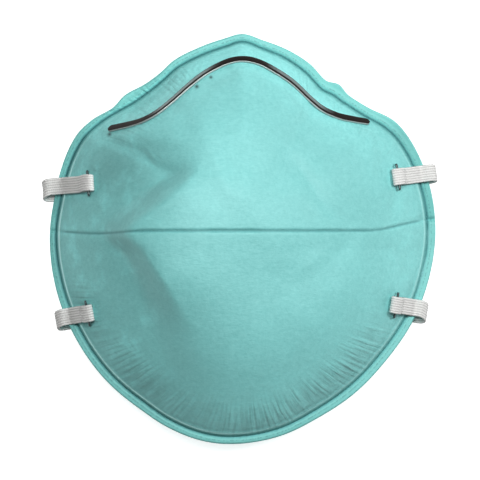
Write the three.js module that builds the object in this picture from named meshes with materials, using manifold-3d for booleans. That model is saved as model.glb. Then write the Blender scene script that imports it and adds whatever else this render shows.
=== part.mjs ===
// Disposable cup respirator, lying on its rim with the dome up.
// Millimetres, +Z up. Seen from above with the nose, +Y, at the top, +X is to the right. The origin is
// on the surface that it lies on, under the middle of the cup.
//
// A moulded nonwoven cup (dome, muzzle, mouth crease, welded flange), an aluminium nose clip, and two
// flat elastic headbands. Each end of a band is stapled through the cup and folded back over its staple.
import * as THREE from 'three';
import { mergeVertices } from 'three/addons/utils/BufferGeometryUtils.js';
import Module from 'manifold-3d';

// ---------------------------------------------------------------- driving dimensions
const GAP = 0.3;                     // air between neighbouring pieces
const SEAT = 0.25;                   // more of it under what lies on the cup, whose faces are flat facets
const WALL = 1.6;                    // moulded nonwoven laminate
const FLANGE_THICKNESS = 1.2;        // the laminate pressed flat and welded at the rim
const WALL_BLEND = 5;                // height over the flange at which it has its full thickness
const DOME_RISE = 38;                // dome over the flange, without the muzzle
const RELIEF_START = 0.16;           // share of the way in from the rim over which muzzle and dents grow
const CREASE_Y = 3;                  // the mouth crease crosses the cup here

const WELD = { halfWidth: 0.5, depth: 0.5 };                   // groove between the flange and the dome
const BEAD = { inset: 1.3, halfWidth: 0.6, height: 0.35 };     // raised line just inside the groove
const CREASE = { halfWidth: 0.9, depth: 0.55 };                 // groove along the mouth crease
const FOLD = { slope: 0.08, reach: 16 };                       // both panels fall away from it
const CREASE_UPTURN = { from: 40, to: 64, rise: 3.9, reach: 12 };   // its right end turns up

// The rim is not flat: it lies on both cheeks and climbs to the nose and to the chin.
const RIM_REST = { y: 1.8, halfLength: 4.5, slope: 0.21, soft: 0.15 };

const BAND = { width: 5.6, thickness: 0.9, edge: 0.25 };
const CLIP = { width: 2.5, thickness: 0.8, edge: 0.15 };
const STAPLE = { span: 8.9, wire: 0.6, depth: 0.8, clinch: 2.4 };

// An end of a band: its tail beyond the staple, the length of its turn beyond the rim and the turn's
// height over the rim's top, and how far in from the rim it is back on the surface below.
const BAND_END = { tail: 3, turnLength: 2.2, turnOver: 1, landing: 5 };

// Rim outline round the middle of the crease: bearing in degrees from +X, reach to the cut edge, and
// the width of the flange from that edge to the weld groove.
const RIM = [
  { bearing: 0, reach: 63.6, flange: 2.6 },
  { bearing: 18, reach: 63.2, flange: 2.9 },
  { bearing: 30, reach: 62.5, flange: 3.2 },
  { bearing: 36, reach: 61.7, flange: 3.5 },
  { bearing: 44, reach: 58.2, flange: 2.8 },
  { bearing: 52, reach: 56.4, flange: 2.7 },
  { bearing: 56.5, reach: 57.4, flange: 3.7 },
  { bearing: 61, reach: 56.3, flange: 2.9 },
  { bearing: 68, reach: 58.9, flange: 3.0 },
  { bearing: 76, reach: 61.0, flange: 2.6 },
  { bearing: 84, reach: 62.7, flange: 2.4 },
  { bearing: 90, reach: 64.4, flange: 2.3 },
  { bearing: 96, reach: 63.1, flange: 2.4 },
  { bearing: 104, reach: 61.6, flange: 2.4 },
  { bearing: 112, reach: 60.2, flange: 2.4 },
  { bearing: 118, reach: 58.3, flange: 2.3 },
  { bearing: 124, reach: 58.1, flange: 2.6 },
  { bearing: 131, reach: 59.4, flange: 3.4 },
  { bearing: 137, reach: 58.8, flange: 1.7 },
  { bearing: 144, reach: 61.5, flange: 2.2 },
  { bearing: 151, reach: 63.1, flange: 2.3 },
  { bearing: 170, reach: 63.0, flange: 2.1 },
  { bearing: 180, reach: 63.6, flange: 2.0 },
  { bearing: 196, reach: 64.3, flange: 2.3 },
  { bearing: 212, reach: 65.2, flange: 2.4 },
  { bearing: 228, reach: 66.5, flange: 2.4 },
  { bearing: 240, reach: 67.7, flange: 2.5 },
  { bearing: 248, reach: 69.4, flange: 2.6 },
  { bearing: 258, reach: 70.8, flange: 2.6 },
  { bearing: 266, reach: 70.9, flange: 2.5 },
  { bearing: 280, reach: 69.3, flange: 2.5 },
  { bearing: 292, reach: 67.1, flange: 2.5 },
  { bearing: 304, reach: 65.4, flange: 2.6 },
  { bearing: 318, reach: 63.9, flange: 2.6 },
  { bearing: 332, reach: 63.6, flange: 2.6 },
  { bearing: 346, reach: 63.3, flange: 2.6 },
];

// How full the dome's section is towards each bearing: the higher, the steeper it leaves the rim.
const FULLNESS = [
  { bearing: 0, power: 2.2 },
  { bearing: 45, power: 2.2 },
  { bearing: 90, power: 2.6 },
  { bearing: 135, power: 2.35 },
  { bearing: 180, power: 2.5 },
  { bearing: 225, power: 2.5 },
  { bearing: 270, power: 3.0 },
  { bearing: 315, power: 2.9 },
];

// The muzzle: a raised form that widens from the nose to the crease and closes again towards the chin.
// flank is the width of its left side, and lean how much it falls from left to right.
const RIGHT_FLANK = 22;
const MUZZLE = [
  { y: -60, left: -14, flank: 8, right: 10, rise: 0, lean: 0 },
  { y: -32, left: -24, flank: 10, right: 22, rise: 0.6, lean: 0.04 },
  { y: -14, left: -28, flank: 8, right: 28, rise: 1.8, lean: 0.12 },
  { y: -5, left: -34.5, flank: 6, right: 30, rise: 3.0, lean: 0.13 },
  { y: 3, left: -40, flank: 7, right: 28, rise: 3.8, lean: 0.12 },
  { y: 14, left: -30, flank: 8, right: 19, rise: 4.2, lean: 0.12 },
  { y: 21, left: -23, flank: 7, right: 13, rise: 4.0, lean: 0.13 },
  { y: 27, left: -25, flank: 9, right: 9, rise: 3.4, lean: 0.15 },
  { y: 35, left: -31, flank: 13, right: 7, rise: 2.2, lean: 0.15 },
  { y: 46, left: -29, flank: 16, right: 6, rise: 1.0, lean: 0.12 },
  { y: 58, left: -12, flank: 12, right: 6, rise: 0, lean: 0 },
];

// Dents, and with a negative depth a ridge: centre, half-axes along and across, the turn of the long
// one, and the depth.
const DENTS = [
  { x: -23, y: 22, along: 5, across: 3.4, turn: 60, depth: 1.5 },     // left of the muzzle, under the nose
  { x: -36, y: 31.5, along: 18, across: 13, turn: -31, depth: -1.8 }, // from the clip's left end to it
  { x: 22, y: 18, along: 12, across: 3.2, turn: -52, depth: 0.5 },    // right of the muzzle
  { x: 46, y: 27, along: 10, across: 2.4, turn: 84, depth: 0.5 },     // by the upper right staple
  { x: 49, y: 9, along: 6, across: 2.2, turn: 80, depth: 0.4 },
  { x: -36, y: -4, along: 10, across: 3.5, turn: -38, depth: 1.1 },   // under the crease, on the left
  { x: 34, y: -1, along: 5, across: 3, turn: 50, depth: 0.7 },
];

// Where each band end is stapled. heading is the band's way out over the rim, in degrees from +X,
// overhang how far its turn stands beyond the rim, and slip how far it comes back towards the chin.
const ANCHORS = {
  upper_left: { x: -49.6, y: 18.9, heading: 188, overhang: 4.6, slip: 1 },
  upper_right: { x: 50.4, y: 20.5, heading: 5, overhang: 4.2, slip: 1.2 },
  lower_left: { x: -49.4, y: -23.7, heading: 190, overhang: 4.2, slip: 2.6 },
  lower_right: { x: 50.2, y: -21.5, heading: -6, overhang: 4.6, slip: 2.6 },
};

// Loose stretch of each band, flat on the surface inside the rim, from left to right.
const LOOPS = {
  upper: [
    { x: -50, y: 17.2 }, { x: -43, y: 22.8 }, { x: -36, y: 32 }, { x: -25, y: 42 }, { x: -12, y: 49 },
    { x: 0, y: 51 }, { x: 12, y: 49 }, { x: 25, y: 42.5 }, { x: 36, y: 33.5 }, { x: 43, y: 25 },
    { x: 50, y: 19.5 },
  ],
  lower: [
    { x: -47, y: -30 }, { x: -38, y: -38 }, { x: -27, y: -46 }, { x: -14, y: -52 }, { x: 0, y: -54.5 },
    { x: 14, y: -52 }, { x: 27, y: -45.5 }, { x: 38, y: -37 }, { x: 47, y: -28.5 },
  ],
};

// Middle line of the nose clip in plan: a bell that follows the bridge of the nose.
const CLIP_LINE = [
  { x: -43.7, y: 36.1 }, { x: -33, y: 38.6 }, { x: -28, y: 41.2 }, { x: -23.1, y: 45 }, { x: -18.1, y: 49.5 },
  { x: -13.2, y: 53.5 }, { x: -8.4, y: 56.4 }, { x: -3.5, y: 58.4 }, { x: 1, y: 58.8 }, { x: 5.5, y: 57.7 },
  { x: 11, y: 54.8 }, { x: 16, y: 51.4 }, { x: 22, y: 45.8 }, { x: 26, y: 42.6 }, { x: 31, y: 40.4 },
  { x: 36, y: 39.3 }, { x: 41.4, y: 38.4 },
];

// Mesh of the cup: a square patch in the middle of a unit disc, its rows closer together along the
// crease, and rings round it. Sizes are shares of the disc.
const PATCH = { cells: 24, size: 0.52, swell: 0.3 };
const CROWDING = { amount: 0.6, reach: 0.25 };
const DOME_RINGS = { count: 7, lastShare: 0.89 };
const STEPS_PER_SPAN = { band: 2, clip: 3 };      // between two points of a strip's route

// ---------------------------------------------------------------- tables and small maths
const clamp = (t, low, high) => Math.min(high, Math.max(low, t));
const mix = (a, b, t) => a + (b - a) * t;
const smoothstep = (from, to, t) => {
  const s = clamp((t - from) / (to - from), 0, 1);
  return s * s * (3 - 2 * s);
};
const bump = (t, halfWidth) => Math.exp(-((t / halfWidth) ** 2));

// Value of a column at a place between rows, on a smooth curve through the rows. With a period the
// table closes on itself; without one its ends hold.
function readTable(rows, key, column, at, period = 0) {
  const count = rows.length;
  const place = period ? ((at % period) + period) % period : clamp(at, rows[0][key], rows[count - 1][key]);
  let index = rows.findLastIndex((row) => row[key] <= place);
  if (!period) index = Math.min(index, count - 2);
  const row = (step) => {
    const i = index + step;
    if (!period) return rows[clamp(i, 0, count - 1)];
    const turns = Math.floor(i / count);
    const base = rows[i - turns * count];
    return { [key]: base[key] + turns * period, [column]: base[column] };
  };
  const [before, low, high, after] = [row(-1), row(0), row(1), row(2)];
  const span = high[key] - low[key];
  const slope = (a, b) => (b[key] > a[key] ? (b[column] - a[column]) / (b[key] - a[key]) : 0);
  const t = (place - low[key]) / span;
  const startSlope = slope(before, high) * span;
  const endSlope = slope(low, after) * span;
  return low[column] * (1 + 2 * t) * (1 - t) ** 2 + startSlope * t * (1 - t) ** 2
    + high[column] * t * t * (3 - 2 * t) + endSlope * t * t * (t - 1);
}

// ---------------------------------------------------------------- the cup's outer surface
const rimAt = (bearing, column) => readTable(RIM, 'bearing', column, bearing, 360);

function rimBottom(y) {
  const past = Math.max(0, Math.abs(y - RIM_REST.y) - RIM_REST.halfLength) * RIM_REST.slope;
  return Math.hypot(past, RIM_REST.soft) - RIM_REST.soft;
}

function creaseLine(x) {
  return CREASE_Y + CREASE_UPTURN.rise * smoothstep(CREASE_UPTURN.from, CREASE_UPTURN.to, x);
}

function muzzleRise(x, y) {
  const at = (column) => readTable(MUZZLE, 'y', column, y);
  const climb = (inside, width) => smoothstep(-width / 2, width, inside);
  return (at('rise') - at('lean') * x)
    * climb(x - at('left'), at('flank')) * climb(at('right') - x, RIGHT_FLANK);
}

function dentDepth(x, y) {
  return DENTS.reduce((total, dent) => {
    const turn = THREE.MathUtils.degToRad(dent.turn);
    const along = (x - dent.x) * Math.cos(turn) + (y - dent.y) * Math.sin(turn);
    const across = (y - dent.y) * Math.cos(turn) - (x - dent.x) * Math.sin(turn);
    return total + dent.depth * bump(along, dent.along) * bump(across, dent.across);
  }, 0);
}

// Height of the outer face over the surface below. Plain leaves out the pressed lines, which show on
// the outer face only.
function outerHeight(x, y, plain = false) {
  const bearing = THREE.MathUtils.radToDeg(Math.atan2(y - CREASE_Y, x));
  const flange = rimAt(bearing, 'flange');
  const footReach = rimAt(bearing, 'reach') - flange;
  const past = footReach - Math.hypot(x, y - CREASE_Y);         // how far inside the weld groove
  const inward = clamp(past / footReach, 0, 1);
  const power = readTable(FULLNESS, 'bearing', 'power', bearing, 360);
  const away = (Math.hypot(y - creaseLine(x), 1) - 1) / FOLD.reach;
  const fold = FOLD.slope * FOLD.reach * (1 - Math.exp(-away)) * inward;
  const relief = (muzzleRise(x, y) - dentDepth(x, y)) * smoothstep(0, RELIEF_START, inward) - fold;
  const dome = DOME_RISE * (1 - (1 - inward) ** power);
  const height = rimBottom(y) * (1 - inward) + FLANGE_THICKNESS + dome + relief;
  if (plain) return height;
  return height
    - WELD.depth * bump(past, WELD.halfWidth)
    + BEAD.height * bump(past - BEAD.inset, BEAD.halfWidth)
    - CREASE.depth * bump(y - creaseLine(x), CREASE.halfWidth);
}

function outerNormal(x, y) {
  const step = 0.5;
  const slopeX = outerHeight(x + step, y, true) - outerHeight(x - step, y, true);
  const slopeY = outerHeight(x, y + step, true) - outerHeight(x, y - step, true);
  return new THREE.Vector3(-slopeX, -slopeY, 2 * step).normalize();
}

// A point at a height over the outer face, measured along its normal.
function onCup(x, y, over = 0) {
  return new THREE.Vector3(x, y, outerHeight(x, y, true)).addScaledVector(outerNormal(x, y), over);
}

// ---------------------------------------------------------------- the cup's solid
// Rows close up towards the crease, so that one row of points runs along it.
const creaseCrowding = (v) => v * (1 - CROWDING.amount * bump(v, CROWDING.reach));

// Place in the unit disc of a point of the middle patch, a square with swollen sides.
function patchPoint(u, v) {
  const { size, swell } = PATCH;
  const w = creaseCrowding(v);
  return new THREE.Vector2(size * u * Math.sqrt(1 - swell * w * w), size * w * Math.sqrt(1 - swell * u * u));
}

// The patch's border, once round from the corner at (1, -1): its points and their bearings on the rim.
function patchBorder() {
  const corners = [[1, -1], [1, 1], [-1, 1], [-1, -1]];
  return corners.flatMap(([u, v], side) => {
    const [nextU, nextV] = corners[(side + 1) % 4];
    return Array.from({ length: PATCH.cells }, (_, i) => {
      const t = i / PATCH.cells;
      const [a, b] = [mix(u, nextU, t), mix(v, nextV, t)];
      const along = side % 2 === 0 ? creaseCrowding(2 * t - 1) : 2 * t - 1;
      return { u: a, v: b, bearing: (side + along / 2) * (Math.PI / 2) };
    });
  });
}

// From the unit disc, whose edge is the weld groove, to the plan, with the crease's end turned up.
function discToPlan(point) {
  const bearing = THREE.MathUtils.radToDeg(point.angle());
  const reach = point.length() * (rimAt(bearing, 'reach') - rimAt(bearing, 'flange'));
  const plan = point.clone().setLength(reach || 0);
  const upturn = creaseLine(plan.x) - CREASE_Y;
  return new THREE.Vector2(plan.x, plan.y + CREASE_Y + upturn * bump(plan.y, CREASE_UPTURN.reach));
}

// Plan points of the whole cup and the quads between them, counter-clockwise from above.
function cupGrid() {
  const points = [];
  const quads = [];
  const side = PATCH.cells + 1;
  for (let j = 0; j < side; j += 1) {
    for (let i = 0; i < side; i += 1) {
      points.push(discToPlan(patchPoint(2 * i / PATCH.cells - 1, 2 * j / PATCH.cells - 1)));
      const k = j * side + i;
      if (i < PATCH.cells && j < PATCH.cells) quads.push([k, k + 1, k + 1 + side, k + side]);
    }
  }
  const border = patchBorder();
  const half = PATCH.cells / 2;
  const patchIndex = ({ u, v }) => Math.round((v + 1) * half) * side + Math.round((u + 1) * half);
  let previous = border.map(patchIndex);
  const addRing = (place) => {
    const ring = border.map((spot) => points.push(place(spot)) - 1);
    ring.forEach((outer, i) => {
      const next = (i + 1) % ring.length;
      quads.push([previous[i], outer, ring[next], previous[next]]);
    });
    previous = ring;
  };
  const discRing = (shareOf) => (spot) => {
    const from = patchPoint(spot.u, spot.v);
    const to = new THREE.Vector2(Math.cos(spot.bearing), Math.sin(spot.bearing));
    return discToPlan(from.lerp(to, shareOf(spot, from.length())));
  };
  const insetRing = (inset) => discRing((spot, start) => {
    const bearing = THREE.MathUtils.radToDeg(spot.bearing);
    const foot = rimAt(bearing, 'reach') - rimAt(bearing, 'flange');
    return 1 - inset / (foot * (1 - start));
  });
  const flangeRing = (share) => (spot) => {
    const groove = insetRing(0)(spot).sub(new THREE.Vector2(0, CREASE_Y));
    const bearing = THREE.MathUtils.radToDeg(groove.angle());
    const reach = rimAt(bearing, 'reach') - rimAt(bearing, 'flange') * (1 - share);
    return groove.setLength(reach).add(new THREE.Vector2(0, CREASE_Y));
  };
  const { count, lastShare } = DOME_RINGS;
  for (let i = 1; i <= count; i += 1) addRing(discRing(() => lastShare * i / count));
  addRing(insetRing(BEAD.inset));
  addRing(insetRing(WELD.halfWidth));
  addRing(flangeRing(0));
  addRing(flangeRing(0.25));
  addRing(flangeRing(1));
  return { points, quads, edge: previous };
}

// The wall: outer face, inner face one wall thickness below it along the normal, and the cut edge.
function cupGeometry() {
  const { points, quads, edge } = cupGrid();
  const count = points.length;
  const outer = points.map(({ x, y }) => new THREE.Vector3(x, y, outerHeight(x, y)));
  const inner = points.map(({ x, y }) => {
    const flangeTop = rimBottom(y) + FLANGE_THICKNESS;
    const wall = mix(FLANGE_THICKNESS, WALL, smoothstep(0, WALL_BLEND, outerHeight(x, y, true) - flangeTop));
    const point = onCup(x, y, -wall);
    point.z = Math.max(point.z, rimBottom(point.y));
    return point;
  });
  const index = [];
  const addQuad = (a, b, c, d) => index.push(a, b, c, a, c, d);
  quads.forEach(([a, b, c, d]) => {
    addQuad(a, b, c, d);
    addQuad(d + count, c + count, b + count, a + count);
  });
  edge.forEach((a, i) => {
    const b = edge[(i + 1) % edge.length];
    addQuad(a, a + count, b + count, b);
  });
  return new THREE.BufferGeometry().setFromPoints([...outer, ...inner]).setIndex(index);
}

// ---------------------------------------------------------------- strips swept along a route
// A flat strip with bevelled edges. Each station has a point, the strip's way across and its face's
// normal.
function sweepStrip(stations, { width, thickness, edge }) {
  const [w, t] = [width / 2, thickness / 2];
  const section = [
    [-w, -t + edge], [-w + edge, -t], [w - edge, -t], [w, -t + edge],
    [w, t - edge], [w - edge, t], [-w + edge, t], [-w, t - edge],
  ];
  const sides = section.length;
  const points = stations.flatMap(({ point, across, normal }) => section.map(([a, n]) => (
    point.clone().addScaledVector(across, a).addScaledVector(normal, n)
  )));
  const index = [];
  for (let i = 0; i < stations.length - 1; i += 1) {
    for (let k = 0; k < sides; k += 1) {
      const [a, b] = [i * sides + k, i * sides + ((k + 1) % sides)];
      index.push(a, b, b + sides, a, b + sides, a + sides);
    }
  }
  const last = (stations.length - 1) * sides;
  for (let k = 1; k < sides - 1; k += 1) {
    index.push(0, k + 1, k);
    index.push(last, last + k, last + k + 1);
  }
  return new THREE.BufferGeometry().setFromPoints(points).setIndex(index);
}

// Stations on a smooth curve through a route. Each point of the route has the strip's way across
// there, which is turned square to the curve.
function stationsAlong(route, stepsPerSpan) {
  const curve = new THREE.CatmullRomCurve3(route.map(({ point }) => point), false, 'centripetal');
  const spans = route.length - 1;
  const count = spans * stepsPerSpan;
  return Array.from({ length: count + 1 }, (_, i) => {
    const span = Math.min(Math.floor(i / stepsPerSpan), spans - 1);
    const along = curve.getTangent(i / count);
    const across = route[span].across.clone().lerp(route[span + 1].across, i / stepsPerSpan - span);
    across.addScaledVector(along, -across.dot(along)).normalize();
    return { point: curve.getPoint(i / count), across, normal: along.clone().cross(across) };
  });
}

// ---------------------------------------------------------------- nose clip
function clipGeometry() {
  const route = CLIP_LINE.map(({ x, y }, i) => {
    const before = CLIP_LINE[Math.max(i - 1, 0)];
    const after = CLIP_LINE[Math.min(i + 1, CLIP_LINE.length - 1)];
    const along = new THREE.Vector3(after.x - before.x, after.y - before.y, 0);
    const across = outerNormal(x, y).cross(along).normalize();
    return { point: onCup(x, y, GAP + SEAT + CLIP.thickness / 2), across };
  });
  return sweepStrip(stationsAlong(route, STEPS_PER_SPAN.clip), CLIP);
}

// ---------------------------------------------------------------- staples
// Heights over the cup's outer face, from the bottom up: the band's tail, the staple's crown, and the
// band coming back over it.
const TAIL_OVER = GAP + SEAT + BAND.thickness / 2;
const CROWN_OVER = TAIL_OVER + BAND.thickness / 2 + GAP;
const RETURN_OVER = CROWN_OVER + STAPLE.wire + GAP + BAND.thickness / 2;

// Frame of an anchor on the cup: x out along the band, y along the crown, z off the face.
function anchorFrame({ x, y, heading }) {
  const normal = outerNormal(x, y);
  const way = THREE.MathUtils.degToRad(heading);
  const across = normal.clone().cross(new THREE.Vector3(Math.cos(way), Math.sin(way), 0)).normalize();
  const out = across.clone().cross(normal);
  return new THREE.Matrix4().makeBasis(out, across, normal).setPosition(onCup(x, y));
}

// A staple in its anchor's frame: crown over the band's tail, legs through the wall, tips clinched.
function stapleGeometry() {
  const { wire, depth, clinch } = STAPLE;
  const half = STAPLE.span / 2;
  const top = CROWN_OVER + wire;
  const inside = -WALL - 2 * GAP;
  const right = [
    [half - wire, CROWN_OVER], [half - wire, inside], [half - clinch, inside],
    [half - clinch, inside - wire], [half, inside - wire], [half, top],
  ];
  const left = right.map(([y, z]) => [-y, z]).reverse();
  const outline = new THREE.Shape([...left, ...right].map(([y, z]) => new THREE.Vector2(y, z)));
  const geometry = new THREE.ExtrudeGeometry(outline, { depth, bevelEnabled: false });
  geometry.translate(0, 0, -depth / 2);
  const out = new THREE.Vector3(1, 0, 0);
  const across = new THREE.Vector3(0, 1, 0);
  const normal = new THREE.Vector3(0, 0, 1);
  return geometry.applyMatrix4(new THREE.Matrix4().makeBasis(across, normal, out));
}

// Slots through the wall for a staple's two legs, in its anchor's frame.
function legSlots() {
  return [-1, 1].map((side) => {
    const slot = new THREE.BoxGeometry(STAPLE.depth + 2 * GAP, STAPLE.wire + 2 * GAP, 3 * WALL);
    return slot.translate(0, side * (STAPLE.span - STAPLE.wire) / 2, -WALL / 2);
  });
}

// ---------------------------------------------------------------- headbands
// How far out from an anchor the rim's cut edge lies.
function edgeDistance(at) {
  const inside = ({ x, y }) => {
    const bearing = THREE.MathUtils.radToDeg(Math.atan2(y - CREASE_Y, x));
    return Math.hypot(x, y - CREASE_Y) < rimAt(bearing, 'reach');
  };
  let distance = 0;
  while (inside(at(distance))) distance += 0.05;
  return distance;
}

// One end of a band, from its cut tail round the fold at the staple and over the rim, to the turn that
// brings it down on the surface below.
function bandEnd(anchor) {
  const way = THREE.MathUtils.degToRad(anchor.heading);
  const out = new THREE.Vector2(Math.cos(way), Math.sin(way));
  const towardsNose = Math.sign(out.x);
  const at = (distance) => new THREE.Vector2(anchor.x, anchor.y).addScaledVector(out, distance);
  const onFace = (distance, over) => {
    const { x, y } = at(distance);
    const across = outerNormal(x, y).cross(new THREE.Vector3(out.x, out.y, 0)).normalize();
    return { point: onCup(x, y, over), across: across.multiplyScalar(towardsNose) };
  };
  const loose = (distance, height, slip) => {
    const { x, y } = at(distance);
    const across = new THREE.Vector3(-out.y, out.x, 0).multiplyScalar(towardsNose);
    return { point: new THREE.Vector3(x, y - slip * anchor.slip, height), across };
  };

  // Over the highest place of the cup that lies under the band there.
  const overCup = (distance) => {
    const { x, y } = at(distance);
    const near = [-BAND.width / 2, 0, BAND.width / 2].flatMap((aside) => [-1, 0, 1].map((ahead) => (
      outerHeight(x + ahead * out.x - aside * out.y, y + ahead * out.y + aside * out.x)
    )));
    return loose(distance, Math.max(...near) + TAIL_OVER, 0);
  };

  const foldRadius = (RETURN_OVER - TAIL_OVER) / 2;
  const foldStart = -(GAP + SEAT);
  const fold = [-90, -45, 0, 45, 90].map((degrees) => {
    const angle = THREE.MathUtils.degToRad(degrees);
    return onFace(foldStart - foldRadius * Math.cos(angle), TAIL_OVER + foldRadius * (1 + Math.sin(angle)));
  });

  const edge = edgeDistance(at);
  const floor = BAND.thickness / 2;
  const turnTop = rimBottom(at(edge).y) + FLANGE_THICKNESS + BAND_END.turnOver;
  const turnFoot = floor + SEAT / 2;
  const turnRise = (turnTop - turnFoot) / 2;
  const turnStart = edge + anchor.overhang - BAND.thickness / 2 - BAND_END.turnLength;
  const turn = [60, 25, -10, -45, -72, -90].map((degrees) => {
    const angle = THREE.MathUtils.degToRad(degrees);
    const slip = (1 - Math.sin(angle)) / 2;
    const distance = turnStart + BAND_END.turnLength * Math.cos(angle);
    return loose(distance, turnFoot + turnRise * (1 + Math.sin(angle)), slip);
  });
  return [
    onFace(BAND_END.tail, TAIL_OVER),
    onFace(BAND_END.tail / 2, TAIL_OVER),
    ...fold,
    onFace(STAPLE.depth, RETURN_OVER),
    ...[0.35, 0.6, 0.85].map((share) => overCup(share * edge)),
    loose(edge + STAPLE.depth, turnTop + SEAT, 0),
    ...turn,
    loose(edge - BAND_END.landing / 2, turnFoot, 1),
    loose(edge - BAND_END.landing, mix(turnFoot, floor, 0.5), 1),
  ];
}

function bandGeometry(left, right, loop) {
  const floor = loop.map(({ x, y }, i) => {
    const before = loop[Math.max(i - 1, 0)];
    const after = loop[Math.min(i + 1, loop.length - 1)];
    const along = new THREE.Vector3(after.x - before.x, after.y - before.y, 0).normalize();
    return {
      point: new THREE.Vector3(x, y, BAND.thickness / 2),
      across: new THREE.Vector3(0, 0, 1).cross(along),
    };
  });
  const route = [...bandEnd(left), ...floor, ...bandEnd(right).reverse()];
  return sweepStrip(stationsAlong(route, STEPS_PER_SPAN.band), BAND);
}

// ---------------------------------------------------------------- cuts
const wasm = await Module();
wasm.setup();

function toManifold(geometry) {
  const bare = geometry.clone();
  bare.deleteAttribute('normal');
  bare.deleteAttribute('uv');
  const merged = mergeVertices(bare);
  return new wasm.Manifold(new wasm.Mesh({
    numProp: 3,
    vertProperties: merged.attributes.position.array,
    triVerts: Uint32Array.from(merged.index.array),
  }));
}

function fromManifold(solid) {
  const { vertProperties, triVerts } = solid.getMesh();
  const geometry = new THREE.BufferGeometry();
  geometry.setAttribute('position', new THREE.BufferAttribute(vertProperties, 3));
  return geometry.setIndex(new THREE.BufferAttribute(triVerts, 1));
}

function cupWithLegSlots() {
  let cup = toManifold(cupGeometry());
  Object.values(ANCHORS).forEach((anchor) => {
    legSlots().forEach((slot) => {
      cup = cup.subtract(toManifold(slot.applyMatrix4(anchorFrame(anchor))));
    });
  });
  return fromManifold(cup);
}

// ---------------------------------------------------------------- assembly
const materials = {
  nonwoven: new THREE.MeshStandardMaterial({ color: 0x84d3cd, roughness: 0.85, metalness: 0 }),
  elastic: new THREE.MeshStandardMaterial({ color: 0xdcdcd8, roughness: 0.9, metalness: 0 }),
  aluminium: new THREE.MeshStandardMaterial({ color: 0x77757a, roughness: 0.4, metalness: 1 }),
  steel: new THREE.MeshStandardMaterial({ color: 0x4d5557, roughness: 0.4, metalness: 1 }),
};

const respirator = new THREE.Group();

function addPiece(name, geometry, material, frame = new THREE.Matrix4()) {
  const piece = new THREE.Mesh(geometry, material);
  piece.name = name;
  piece.applyMatrix4(frame);
  respirator.add(piece);
}

addPiece('cup_shell', cupWithLegSlots(), materials.nonwoven);
addPiece('nose_clip', clipGeometry(), materials.aluminium);
const upperBand = bandGeometry(ANCHORS.upper_left, ANCHORS.upper_right, LOOPS.upper);
const lowerBand = bandGeometry(ANCHORS.lower_left, ANCHORS.lower_right, LOOPS.lower);
addPiece('headband_upper', upperBand, materials.elastic);
addPiece('headband_lower', lowerBand, materials.elastic);
Object.entries(ANCHORS).forEach(([place, anchor]) => {
  addPiece(`staple_${place}`, stapleGeometry(), materials.steel, anchorFrame(anchor));
});

export default respirator;
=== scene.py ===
"""Disposable cup respirator, lying on its rim with the dome up.

Metres, +Z up. Seen from above with the nose, +Y, at the top, +X is to the right. The pieces are a
moulded nonwoven cup with a welded rim, an aluminium nose clip, and two braided elastic headbands, each
stapled through the cup at both ends.
"""

import math

import bmesh
import bpy
import numpy as np
from bmesh.types import BMEdge, BMFace, BMVert
from bpy.props import FloatProperty, FloatVectorProperty, IntProperty, PointerProperty
from mathutils import Matrix, Vector


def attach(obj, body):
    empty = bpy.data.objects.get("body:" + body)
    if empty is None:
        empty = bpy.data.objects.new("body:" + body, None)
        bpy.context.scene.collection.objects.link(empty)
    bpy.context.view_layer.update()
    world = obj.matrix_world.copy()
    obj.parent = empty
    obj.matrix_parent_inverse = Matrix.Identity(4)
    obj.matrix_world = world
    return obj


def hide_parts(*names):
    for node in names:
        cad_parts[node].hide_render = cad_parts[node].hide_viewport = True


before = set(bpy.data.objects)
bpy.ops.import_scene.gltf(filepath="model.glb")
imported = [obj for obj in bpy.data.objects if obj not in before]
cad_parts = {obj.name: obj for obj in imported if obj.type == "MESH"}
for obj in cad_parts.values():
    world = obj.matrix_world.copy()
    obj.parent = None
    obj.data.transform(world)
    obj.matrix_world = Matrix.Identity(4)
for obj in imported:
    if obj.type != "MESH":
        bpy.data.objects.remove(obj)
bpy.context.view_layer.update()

bl_info = {
    "name": "Disposable Cup Respirator",
    "version": (1, 0, 0),
    "blender": (4, 5, 0),
    "location": "View3D > Sidebar > Respirator",
    "description": "Moulded cup, nose clip, stapled headbands and a plain studio",
    "category": "Object",
}

MM = 0.001
DEG = math.pi / 180
TURN = 2 * math.pi
UP = Vector((0, 0, 1))


# ---- tables and small maths
def table(columns, units, *rows):
    """Columns by name, each times its own unit."""
    return {
        name: np.array([row[i] for row in rows]) * unit
        for i, (name, unit) in enumerate(zip(columns.split(), units))
    }


def rows_of(columns):
    """The rows of a table, as dictionaries."""
    return [dict(zip(columns, values)) for values in zip(*columns.values())]


def smoothstep(start, end, t):
    s = np.clip((t - start) / (end - start), 0, 1)
    return s * s * (3 - 2 * s)


def bump(t, half_width):
    return np.exp(-((t / half_width) ** 2))


def read(columns, key, name, at, period=None):
    """A column on a smooth curve through its rows. With a period the curve closes on itself."""
    keys, values = columns[key], columns[name]
    if period:
        at = np.mod(at, period)
        keys = np.concatenate([keys[-2:] - period, keys, keys[:2] + period])
        values = np.concatenate([values[-2:], values, values[:2]])
    else:
        at = np.clip(at, keys[0], keys[-1])
    rises = np.diff(values, prepend=values[0], append=values[-1])
    runs = np.diff(keys, prepend=keys[0], append=keys[-1])
    slopes = (rises[:-1] + rises[1:]) / (runs[:-1] + runs[1:])
    low = np.clip(np.searchsorted(keys, at, side="right") - 1, 0, len(keys) - 2)
    span = keys[low + 1] - keys[low]
    t = (at - keys[low]) / span
    return (
        values[low] * (1 + 2 * t) * (1 - t) ** 2
        + slopes[low] * span * t * (1 - t) ** 2
        + values[low + 1] * t * t * (3 - 2 * t)
        + slopes[low + 1] * span * t * t * (t - 1)
    )


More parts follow.
